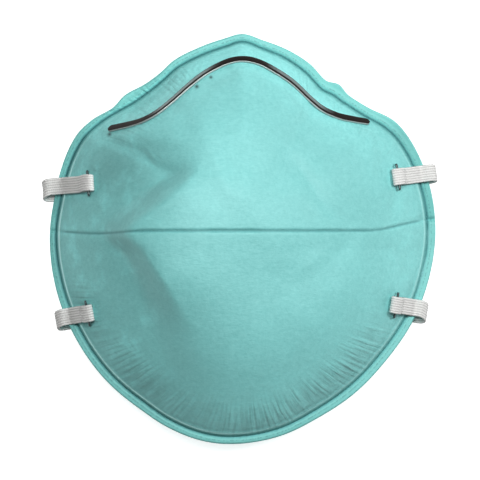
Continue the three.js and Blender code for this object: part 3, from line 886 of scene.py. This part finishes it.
class Value:
    """A number or colour that a shader works out. Operators on it add Math nodes."""

    def __init__(self, shader, output):
        self.shader = shader
        self.output = output

    def __neg__(self):
        return self * -1

    __add__ = __radd__ = node_operator("ADD")
    __sub__ = node_operator("SUBTRACT")
    __rsub__ = node_operator("SUBTRACT", reflected=True)
    __mul__ = __rmul__ = node_operator("MULTIPLY")
    __truediv__ = node_operator("DIVIDE")
    __pow__ = node_operator("POWER")


class Shader:
    """The nodes of one material."""

    def __init__(self, name):
        self.material = bpy.data.materials.new(name)
        self.material.use_nodes = True
        self.tree = self.material.node_tree
        self.tree.nodes.clear()

    def node(self, kind, settings=None, output=None, **values):
        """Adds a node, sets it up, then gives its sockets, named by identifier, a value or a link."""
        node = self.tree.nodes.new(f"ShaderNode{kind}")
        for name, value in (settings or {}).items():
            setattr(node, name, value)
        sockets = {socket.identifier: socket for socket in node.inputs}
        for name, value in values.items():
            if isinstance(value, Value):
                self.tree.links.new(value.output, sockets[name])
            else:
                sockets[name].default_value = value
        outputs = {socket.identifier: socket for socket in node.outputs}
        return Value(self, outputs[output] if output else next(iter(node.outputs), None))

    def math(self, operation, *values):
        return self.node("Math", {"operation": operation}, **dict(zip(("Value", "Value_001"), values)))

    def place(self):
        return self.node("TexCoord", output="Object")

    def run(self):
        """The way along and across a strip, from its UV map."""
        return self.node("UVMap", {"uv_map": "run"})

    def parts(self, vector):
        return [self.node("SeparateXYZ", output=axis, Vector=vector) for axis in "XYZ"]

    def attribute(self, name):
        return self.node("Attribute", {"attribute_name": name}, output="Fac")

    def mapped(self, vector, turn=(0, 0, 0), stretch=(1, 1, 1)):
        return self.node("Mapping", Vector=vector, Rotation=turn, Scale=stretch)

    def noise(self, vector, scale, detail=2.0, roughness=0.5, distortion=0.0):
        form = {"Scale": scale, "Detail": detail, "Roughness": roughness, "Distortion": distortion}
        return self.node("TexNoise", Vector=vector, **form)

    def vector(self, x, y, z):
        return self.node("CombineXYZ", X=x, Y=y, Z=z)

    def bell(self, value, half_width):
        return self.math("EXPONENT", -((value / half_width) ** 2))

    def ease(self, value, start, end):
        """From 0 at the start to 1 at the end, smoothly."""
        span = {"From Min": start, "From Max": end}
        return self.node("MapRange", {"interpolation_type": "SMOOTHSTEP"}, Value=value, **span)

    def mix(self, factor, a, b):
        a, b = (value if isinstance(value, Value) else (*value, 1) for value in (a, b))
        sockets = {"Factor_Float": factor, "A_Color": a, "B_Color": b}
        return self.node("Mix", {"data_type": "RGBA"}, "Result_Color", **sockets)

    def tint(self, colour, amount):
        """A colour made lighter or darker by a number."""
        return self.node("VectorMath", {"operation": "SCALE"}, Vector=colour, Scale=amount)

    def finish(self, colour, roughness, height, metallic=0.0, specular=0.5):
        """The surface: its colour, roughness, relief in metres, metal and sheen."""
        bumped = self.node("Bump", Strength=1.0, Distance=1.0, Height=height)
        look = {"Base Color": colour, "Roughness": roughness, "Metallic": metallic, "Normal": bumped}
        surface = self.node("BsdfPrincipled", **look, **{"Specular IOR Level": specular})
        self.node("OutputMaterial", Surface=surface)
        return self.material


# ---- finishes
# Two layers of matted fibres: the turn of each, and how fine it is along its own axes.
FIBRES = (((0, 0, 0.5), (420, 2600, 1500)), ((0.2, 0, -0.7), (380, 2400, 1400)))
DARK_LINE = 0.42 * MM  # half widths of the groove's and crease's painted shade, and of the bead's painted highlight
BRIGHT_LINE = 0.26 * MM
STITCHES = {"inset": -1.25 * MM, "half_width": 0.22 * MM}  # dotted line in the middle of the flange
HATCH_PITCH = 1.9 * MM  # of the fine pleats along the rim
PAINTED_CHEEK_SHADE = {"x": -40.2 * MM, "y": 26.8 * MM, "turn": -23 * DEG, "half_width": 13 * MM}  # painted shade, darker over the left cheek
PAINTED_MUZZLE_LIGHT = {"x": -10 * MM, "y": 24 * MM, "half_width": 15 * MM, "half_length": 22 * MM}  # painted light, paler over the muzzle

# Where the web's patterns, and the shade, light and highlight painted on it, show. Each rises, in
# millimetres along what it reads, from nothing at the first place to full at the second.
MASKS = {
    "pressed": (("inset", -0.2, -0.7),),
    "inside_rim": (("inset", 1.5, 4),),
    "rumpled": (("inset", 20, 6), ("inset", 0.5, 2.5)),
    "painted_nose_light": (("y", 34, 42), ("inset", 11, 6)),
    "ruffled": (("y", 10, -10),),
    "mottled": (("x", -18, -36),),
    "bead_highlight_left": (("x", 10, -35),),
    "bead_highlight_below": (("y", 38, 18),),
    "groove_above": (("y", -30, 10),),
    "painted_cheek_shade": (("up", 3.5, 0.5), ("up", -17, -3)),
}


class Web(Shader):
    """Thermobonded fibre web: matted fibres, clumps and thin places, darker where it is pressed."""

    def __init__(self):
        super().__init__("nonwoven")
        at = self.place()
        self.x, self.y, _ = self.parts(at)
        self.inset = self.attribute("inset")
        self.from_crease = self.attribute("from_crease")
        self.puckered = self.attribute("puckered")
        self.out, self.up = along_and_across(self.x, self.y, PAINTED_CHEEK_SHADE, PAINTED_CHEEK_SHADE["turn"])
        self.clumps = self.noise(at, 700, 4, 0.65)
        self.thin_places = self.noise(at, 130, 3, 0.6)
        self.broad = self.noise(at, 28, 2, 0.5)
        self.speckle = self.noise(at, 1500, 2, 0.6)
        layers = (self.noise(self.mapped(at, *layer), 1, 2, 0.7, 0.6) for layer in FIBRES)
        self.matted = self.math("MAXIMUM", *layers)
        self.pressed, self.rumpled = self.mask("pressed"), self.mask("rumpled")
        self.pleat()

    def mask(self, name):
        """How strongly a pattern shows, from 0 to 1."""
        first, *others = (
            self.ease(getattr(self, axis), start * MM, end * MM) for axis, start, end in MASKS[name]
        )
        return math.prod(others, start=first)

    def pleat(self):
        """Streaks, folds and hatching that run out to the rim. Their slant turns round at the chin."""
        aside = self.math("ARCTAN2", self.y - CREASE_Y, self.x) + TURN / 4
        around = aside * MEAN_REACH + self.inset * (self.ease(aside, -0.5, 0.5) * 0.9 - 0.45)
        self.streaks = self.noise(self.vector(around, self.inset * 0.16, 0), 520, 3, 0.6)
        self.folds = self.noise(self.vector(around, self.inset * 0.35, 5), 170, 2, 0.5)
        waves = self.math("SINE", around * (TURN / HATCH_PITCH) + self.folds * 9) * 0.5 + 0.5
        self.hatched = waves**2 * self.ease(self.folds, 0.35, 0.6) * self.puckered

    def fibres(self, settings):
        """The colour of the fibres, uneven from place to place, with painted shade over the left cheek and
        painted light over the muzzle, and where the web is welded flat.
        """
        thick = self.ease(self.clumps * 0.5 + self.matted * 0.5, 0.3, 0.75)
        colour = self.mix(thick, settings.deep, settings.pale)
        uneven = 0.93 + self.thin_places * (0.08 + self.rumpled * 0.16) + self.broad * 0.06
        colour = self.tint(colour, uneven)
        # Painted shade: the left cheek is darkened by up to 21 per cent.
        painted_cheek_shade = self.bell(self.out, PAINTED_CHEEK_SHADE["half_width"]) * self.mask("painted_cheek_shade")
        mottled = self.ease(self.thin_places, 0.5, 0.72) * self.mask("mottled")
        colour = self.tint(colour, (1 - painted_cheek_shade * 0.21) * (1 + mottled * 0.12))
        # Painted light: the web over the muzzle is made up to 9 per cent paler.
        painted_muzzle_light = self.bell(self.x - PAINTED_MUZZLE_LIGHT["x"], PAINTED_MUZZLE_LIGHT["half_width"])
        painted_muzzle_light = painted_muzzle_light * self.bell(self.y - PAINTED_MUZZLE_LIGHT["y"], PAINTED_MUZZLE_LIGHT["half_length"])
        colour = self.tint(colour, 1 + painted_muzzle_light * 0.09)
        return self.mix(self.pressed * 0.6, colour, settings.pressed)

    def puckers(self, colour):
        """Dark folds and hatching below the crease, painted light on the web between the nose clip and the
        rim, and the dark spots along the clip.
        """
        ruffled = self.mask("ruffled") * 0.2
        folded = self.ease(self.streaks * 0.6 + self.folds * 0.4, 0.6, 0.4) * self.puckered
        colour = self.tint(colour, 1 - folded * ruffled)
        for dark_spot in rows_of(DARK_SPOTS):
            x = (self.x - dark_spot["x"]) / dark_spot["half_width"]
            y = (self.y - dark_spot["y"]) / dark_spot["half_width"]
            colour = self.tint(colour, 1 - self.math("EXPONENT", -(x**2 + y**2)) * 0.75)
        # Painted light: up to 13 per cent paler between the nose clip and the rim.
        return self.tint(colour, (1 - self.hatched * ruffled * 0.9) * (1 + self.mask("painted_nose_light") * 0.13))

    def lines(self, colour, settings):
        """The painted highlight on the bead, and the dark lines: painted shade in the weld groove and the
        mouth crease, and the stitches.
        """
        # Painted highlight along the bead, stronger on the left and gone towards the nose.
        bead_highlight = self.bell(self.inset - BEAD["inset"], BRIGHT_LINE)
        bead_highlight = bead_highlight * (0.35 + self.mask("bead_highlight_left") * 0.6) * self.mask("bead_highlight_below")
        colour = self.mix(bead_highlight, colour, settings.bead_highlight)
        # Painted shade in the weld groove, darker towards the nose.
        groove = self.bell(self.inset + (self.speckle - 0.5) * 0.3 * MM, DARK_LINE)
        groove = groove * (0.5 + self.mask("groove_above") * 0.35)
        stitches = self.bell(self.inset - STITCHES["inset"], STITCHES["half_width"])
        stitches = stitches * self.ease(self.speckle, 0.42, 0.62)
        # Painted shade along the mouth crease.
        seam = self.bell(self.from_crease, DARK_LINE) * self.mask("inside_rim")
        return self.mix(groove + stitches * 0.5 + seam * 0.6, colour, settings.groove)

    def relief(self):
        """In metres: fibres and clumps, which pressing flattens, thin places, pleats and hatching."""
        fibres = (self.clumps * 0.08 + self.matted * 0.07) * (1 - self.pressed * 0.7)
        uneven = self.thin_places * (0.2 + self.rumpled * 0.35)
        pleats = (self.streaks * 0.55 + self.folds * 0.7) * self.puckered
        return (fibres + uneven + pleats - self.hatched * 0.12) * MM


def nonwoven(settings):
    """The finish of the cup."""
    web = Web()
    colour = web.lines(web.puckers(web.fibres(settings)), settings)
    return web.finish(colour, 0.5 + web.clumps * 0.1, web.relief(), specular=0.6)


YARN_PITCH = 0.75 * MM  # along the band


def braided_elastic(settings):
    """Polyester yarn braided over rubber cores: a rib over each core, slanted yarns between them."""
    shader = Shader("braided_elastic")
    along, across, _ = shader.parts(shader.run())
    pitch = settings.width / settings.ribs
    rib = shader.math("SINE", (across / settings.width + 0.5) * (math.pi * settings.ribs))
    rib = shader.math("ABSOLUTE", rib)
    slant = shader.math("PINGPONG", across / pitch + 0.5, 1)
    yarns = shader.math("SINE", (along / YARN_PITCH + slant * 0.6) * TURN) * 0.5 + 0.5
    fuzz = shader.noise(shader.place(), 1800, 3, 0.7)
    worn = shader.noise(shader.place(), 160, 2)
    cover = rib**0.6 * (0.72 + yarns * 0.28)
    colour = shader.mix(shader.ease(cover, 0.1, 0.85), settings.core, settings.yarn)
    colour = shader.tint(colour, 0.9 + fuzz * 0.1 + worn * 0.08)
    height = (rib * 0.04 + yarns * rib * 0.04 + fuzz * 0.06) * MM
    return shader.finish(colour, 0.8 + fuzz * 0.15, height, specular=0.3)


CLIP_MIDDLE = -0.5 * MM  # place of its crown

# Where the clip's painted reflection turns from dark to light, from nothing to fully: away from its crown,
# towards it from the ends, and across it from both sides. The last is a painted highlight along its lower
# edge.
PAINTED_REFLECTION_BOUNDS = {
    "off_crown": (8 * MM, 15 * MM),
    "off_ends": (33 * MM, 26 * MM),
    "off_lower": (-0.35 * MM, 0.05 * MM),
    "off_upper": (1.05 * MM, 0.8 * MM),
    "cut": (-0.95 * MM, -1.1 * MM),
}


def aluminium(settings):
    """Dull strip with painted reflections: dark on the ends and the crown, lighter and more metallic on the
    slopes, and a painted highlight along its lower edge.
    """
    shader = Shader("aluminium")
    x, _, _ = shader.parts(shader.place())
    _, across, _ = shader.parts(shader.run())
    scuffs = shader.noise(shader.place(), 420, 4, 0.6)
    drawn = shader.noise(shader.mapped(shader.run(), (0, 0, 0), (60, 3000, 1)), 1, 3, 0.6)
    from_middle = shader.math("ABSOLUTE", x - CLIP_MIDDLE) + scuffs * 3 * MM
    slope = shader.ease(from_middle, *PAINTED_REFLECTION_BOUNDS["off_crown"]) * shader.ease(from_middle, *PAINTED_REFLECTION_BOUNDS["off_ends"])
    upper = shader.ease(across + scuffs * 0.3 * MM, *PAINTED_REFLECTION_BOUNDS["off_lower"])
    # Painted highlight along the lower edge, on the muzzle's side.
    cut = shader.ease(across + scuffs * 0.2 * MM, *PAINTED_REFLECTION_BOUNDS["cut"])
    painted_slope_reflection = slope * upper * shader.ease(across, *PAINTED_REFLECTION_BOUNDS["off_upper"])
    colour = shader.mix(painted_slope_reflection, settings.painted_dark_reflection, settings.painted_slope_reflection)
    colour = shader.mix(cut, colour, settings.painted_edge_highlight)
    colour = shader.tint(colour, 0.8 + drawn * 0.3 + scuffs * 0.1)
    height = (drawn * 0.02 + scuffs * 0.03) * MM
    return shader.finish(colour, 0.4 + scuffs * 0.15, height, metallic=0.4 + painted_slope_reflection * 0.3)


def staple_wire(settings):
    """Flat steel wire, drawn along its length and dulled."""
    shader = Shader("staple_wire")
    drawn = shader.noise(shader.mapped(shader.run(), (0, 0, 0), (300, 5000, 1)), 1, 3, 0.6)
    stains = shader.noise(shader.place(), 900, 3)
    colour = shader.tint(settings.steel, 0.75 + drawn * 0.3 + stains * 0.2)
    return shader.finish(colour, 0.32 + stains * 0.2, drawn * 0.02 * MM, metallic=0.9)


def white_floor(settings):
    """A light table, which gives off some light of its own."""
    shader = Shader("white_floor")
    look = {"Base Color": (*settings.floor, 1), "Roughness": 0.9}
    glow = {"Emission Color": (1, 1, 1, 1), "Emission Strength": settings.floor_glow}
    surface = shader.node("BsdfPrincipled", **look, **glow)
    shader.node("OutputMaterial", Surface=surface)
    return shader.material


# ---- settings
def length(name, description, millimetres):
    return FloatProperty(
        name=name, description=description, default=millimetres * MM, min=0, precision=5, unit="LENGTH"
    )


def amount(name, description, default, soft_max=1.0):
    return FloatProperty(name=name, description=description, default=default, min=0, soft_max=soft_max)


def count(name, description, default):
    return IntProperty(name=name, description=description, default=default, min=2)


def colour(name, description, *default):
    return FloatVectorProperty(
        name=name, description=description, default=default, min=0, max=1, subtype="COLOR"
    )


class StageSettings(bpy.types.PropertyGroup):
    camera_height: length("Camera height", "Camera over the surface below", 2400)
    camera_x: FloatProperty(
        name="Camera aside", description="Camera from the middle", default=-0.9 * MM, unit="LENGTH"
    )
    view_width: length("View width", "Width of the view at the rim", 158.4)
    sky: amount("Sky", "Strength of the even light from all round", 0.03, 3)
    key_power: amount("Key light", "Power of the light to the right of the nose, in watts", 10.2, 50)
    overhead_power: amount("Overhead light", "Power of the light over the cup, in watts", 20.0, 50)
    gamma: amount("Gamma", "Of the picture", 0.75, 2)
    floor: colour("Floor", "Colour of the light table", 0.35, 0.35, 0.35)
    floor_glow: amount("Floor glow", "Light that the table gives off", 0.85)


class CupSettings(bpy.types.PropertyGroup):
    dome_rise: length("Dome rise", "Dome over the flange, without the muzzle", 38)
    wall: length("Wall", "Thickness of the moulded web", 1.6)
    flange_thickness: length("Flange thickness", "The web where it is welded flat at the rim", 1.2)
    wrinkling: amount("Wrinkling", "Depth of the wrinkles along the rim", 1.0, 3)
    cells: count("Cells", "Faces along a side of the mesh's middle patch", 128)
    dome_rings: count("Dome rings", "Rings of faces between the patch and the rim", 16)
    pale: colour("Pale", "Thick clumps of fibre", 0.295, 0.61, 0.60)
    deep: colour("Deep", "Thin places between them", 0.23, 0.53, 0.52)
    pressed: colour("Pressed", "The welded flange", 0.19, 0.50, 0.47)
    # Painted highlight on the raised line inside the weld.
    bead_highlight: colour("Bead", "The raised line inside the weld", 0.66, 0.98, 0.96)
    # Painted shade in the weld groove and the mouth crease; the flange's dotted stitches take this colour
    # too.
    groove: colour("Groove", "The weld groove and the mouth crease", 0.08, 0.25, 0.26)


class BandSettings(bpy.types.PropertyGroup):
    width: length("Width", "Across the band", 5.6)
    thickness: length("Thickness", "Through the band", 0.9)
    ribs: count("Ribs", "Rubber cores side by side", 7)
    rib_relief: length("Rib relief", "How far the ribs stand out", 0.06)
    yarn: colour("Yarn", "The braid on the ribs", 0.72, 0.72, 0.71)
    core: colour("Core", "What shows between the yarns", 0.52, 0.52, 0.51)


class ClipSettings(bpy.types.PropertyGroup):
    width: length("Width", "Across the strip", 2.5)
    thickness: length("Thickness", "Through the strip", 0.8)
    edge_radius: length("Edge radius", "Rounding of its edges", 0.3)
    # Painted reflections: lighter on the slopes, dark on the ends and the crown, and a painted highlight
    # along the lower edge.
    painted_slope_reflection: colour("Bare", "Metal where the coat is worn off", 0.30, 0.35, 0.35)
    painted_edge_highlight: colour("Cut edge", "The bright edge on the muzzle's side", 0.5, 0.55, 0.54)
    painted_dark_reflection: colour("Coat", "The dark coat", 0.03, 0.022, 0.02)


class StapleSettings(bpy.types.PropertyGroup):
    wire: length("Wire thickness", "Off the face", 0.6)
    depth: length("Wire width", "Along the band", 0.8)
    clinch: length("Clinch", "Length of the bent tips", 2.4)
    steel: colour("Steel", "The wire", 0.16, 0.20, 0.20)


class RespiratorSettings(bpy.types.PropertyGroup):
    stage: PointerProperty(type=StageSettings)
    cup: PointerProperty(type=CupSettings)
    band: PointerProperty(type=BandSettings)
    clip: PointerProperty(type=ClipSettings)
    staple: PointerProperty(type=StapleSettings)


# ---- operators
SHARP_ANGLE = 50 * DEG  # edges that bend more are shaded as sharp
SENSOR_WIDTH = 36  # of the camera, in millimetres
FLOOR_RADIUS = 1.5

# The two soft lights, in metres: the place of each and the side of its square.
LIGHTS = {"key": ((0.84, 0.38, 1.05), 0.4), "overhead": ((-0.08, 0.34, 1.54), 0.6)}


def add_object(name, data):
    made = bpy.data.objects.new(name, data)
    bpy.context.scene.collection.objects.link(made)
    return made


def add_mesh(name, bm, material):
    mesh = bpy.data.meshes.new(name)
    bm.to_mesh(mesh)
    bm.free()
    mesh.materials.append(material)
    return add_object(name, mesh)


def add_piece(name, bm, material, slot, *nodes):
    """Makes an object of the mesh, which stands for the CAD nodes and rides on the root."""
    piece = add_mesh(name, bm, material)
    for face in piece.data.polygons:
        face.use_smooth = True
    piece.data.set_sharp_from_angle(angle=SHARP_ANGLE)
    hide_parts(*nodes)
    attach(piece, "root")
    return piece


def add_light(name, place, size, power):
    """A square light at a place, turned to the middle of the object."""
    light = bpy.data.lights.new(name, "AREA")
    light.size = size
    light.energy = power
    lamp = add_object(name, light)
    lamp.location = place
    lamp.rotation_euler = (-Vector(place)).to_track_quat("-Z", "Y").to_euler()
    lamp.visible_camera = False


def studio_sky(settings):
    """Even light that is weaker than the white that the camera sees behind the object."""
    sky = bpy.data.worlds.new("sky")
    sky.use_nodes = True
    nodes, links = sky.node_tree.nodes, sky.node_tree.links
    light, backdrop = nodes["Background"], nodes.new("ShaderNodeBackground")
    light.inputs["Color"].default_value = (1, 1, 1, 1)
    light.inputs["Strength"].default_value = settings.sky
    backdrop.inputs["Color"].default_value = (1, 1, 1, 1)
    seen = nodes.new("ShaderNodeMixShader")
    links.new(nodes.new("ShaderNodeLightPath").outputs["Is Camera Ray"], seen.inputs["Fac"])
    links.new(light.outputs["Background"], seen.inputs[1])
    links.new(backdrop.outputs["Background"], seen.inputs[2])
    links.new(seen.outputs["Shader"], nodes["World Output"].inputs["Surface"])
    return sky


class RESPIRATOR_OT_stage(bpy.types.Operator):
    """Camera straight over the cup, an even sky, two soft lights and a pale floor"""

    bl_idname = "respirator.stage"
    bl_label = "Set the stage"

    def execute(self, context):
        settings = context.scene.respirator.stage
        camera = bpy.data.cameras.new("camera")
        camera.sensor_width = SENSOR_WIDTH
        camera.lens = camera.sensor_width * settings.camera_height / settings.view_width
        eye = add_object("camera", camera)
        eye.location = (settings.camera_x, 0, settings.camera_height)
        context.scene.camera = eye

        context.scene.world = studio_sky(settings)
        context.scene.view_settings.view_transform = "Standard"
        context.scene.view_settings.gamma = settings.gamma
        for name, (place, size) in LIGHTS.items():
            add_light(name, place, size, getattr(settings, f"{name}_power"))

        bm = bmesh.new()
        bmesh.ops.create_circle(bm, cap_ends=True, segments=96, radius=FLOOR_RADIUS)
        add_mesh("floor", bm, white_floor(settings))
        return {"FINISHED"}


class RESPIRATOR_OT_headbands(bpy.types.Operator):
    """Two braided elastic bands, folded back over their staples and lying loose under the cup"""

    bl_idname = "respirator.headbands"
    bl_label = "Add the headbands"

    def execute(self, context):
        settings = context.scene.respirator
        band = settings.band
        shape = CupShape(settings.cup)
        material = braided_elastic(band)
        section = ribbed_section(band.width, band.thickness, band.ribs, band.rib_relief)
        for which in LOOPS:
            stations = band_stations(shape, which, band, settings.staple)
            bm = sweep(section, stations)
            piece = add_piece(f"band_{which}", bm, material, "elastic", f"headband_{which}")
            travel_along(stations)[-1]
        return {"FINISHED"}


class RESPIRATOR_OT_cup(bpy.types.Operator):
    """The moulded cup, with its welded rim, muzzle and mouth crease"""

    bl_idname = "respirator.cup"
    bl_label = "Add the cup"

    def execute(self, context):
        settings = context.scene.respirator.cup
        add_piece("moulded_cup", build_cup(settings), nonwoven(settings), "nonwoven", "cup_shell")
        return {"FINISHED"}


class RESPIRATOR_OT_nose_clip(bpy.types.Operator):
    """The strip bent over the bridge of the nose"""

    bl_idname = "respirator.nose_clip"
    bl_label = "Add the nose clip"

    def execute(self, context):
        settings = context.scene.respirator
        bm = build_clip(CupShape(settings.cup), settings.clip)
        add_piece("nose_strip", bm, aluminium(settings.clip), "aluminium", "nose_clip")
        return {"FINISHED"}


class RESPIRATOR_OT_staples(bpy.types.Operator):
    """One staple for each end of the headbands"""

    bl_idname = "respirator.staples"
    bl_label = "Add the staples"

    def execute(self, context):
        settings = context.scene.respirator
        shape = CupShape(settings.cup)
        material = staple_wire(settings.staple)
        for place, anchor in ANCHORS.items():
            bm = build_staple(shape, anchor, settings.band, settings.staple)
            add_piece(f"bent_staple_{place}", bm, material, "staple_wire", f"staple_{place}")
        return {"FINISHED"}


class RESPIRATOR_PT_build(bpy.types.Panel):
    """The steps in order, with the sizes and colours that each one reads"""

    bl_idname = "RESPIRATOR_PT_build"
    bl_label = "Respirator"
    bl_space_type = "VIEW_3D"
    bl_region_type = "UI"
    bl_category = "Respirator"

    def draw(self, context):
        settings = context.scene.respirator
        for operator, groups in STEPS:
            box = self.layout.box()
            box.operator(operator.bl_idname)
            for group in groups:
                part = getattr(settings, group)
                for name in part.bl_rna.properties.keys():
                    if name not in ("rna_type", "name"):
                        box.prop(part, name)


STEPS = (
    (RESPIRATOR_OT_stage, ("stage",)),
    (RESPIRATOR_OT_headbands, ("band",)),
    (RESPIRATOR_OT_cup, ("cup",)),
    (RESPIRATOR_OT_nose_clip, ("clip",)),
    (RESPIRATOR_OT_staples, ("staple",)),
)
CLASSES = (
    StageSettings,
    CupSettings,
    BandSettings,
    ClipSettings,
    StapleSettings,
    RespiratorSettings,
    *(operator for operator, _ in STEPS),
    RESPIRATOR_PT_build,
)


def register():
    for cls in CLASSES:
        bpy.utils.register_class(cls)
    bpy.types.Scene.respirator = PointerProperty(type=RespiratorSettings)


def unregister():
    del bpy.types.Scene.respirator
    for cls in reversed(CLASSES):
        bpy.utils.unregister_class(cls)


def main():
    register()
    bpy.ops.respirator.stage()
    bpy.ops.respirator.headbands()
    bpy.ops.respirator.cup()
    bpy.ops.respirator.nose_clip()
    bpy.ops.respirator.staples()


if __name__ == "__main__":
    main()
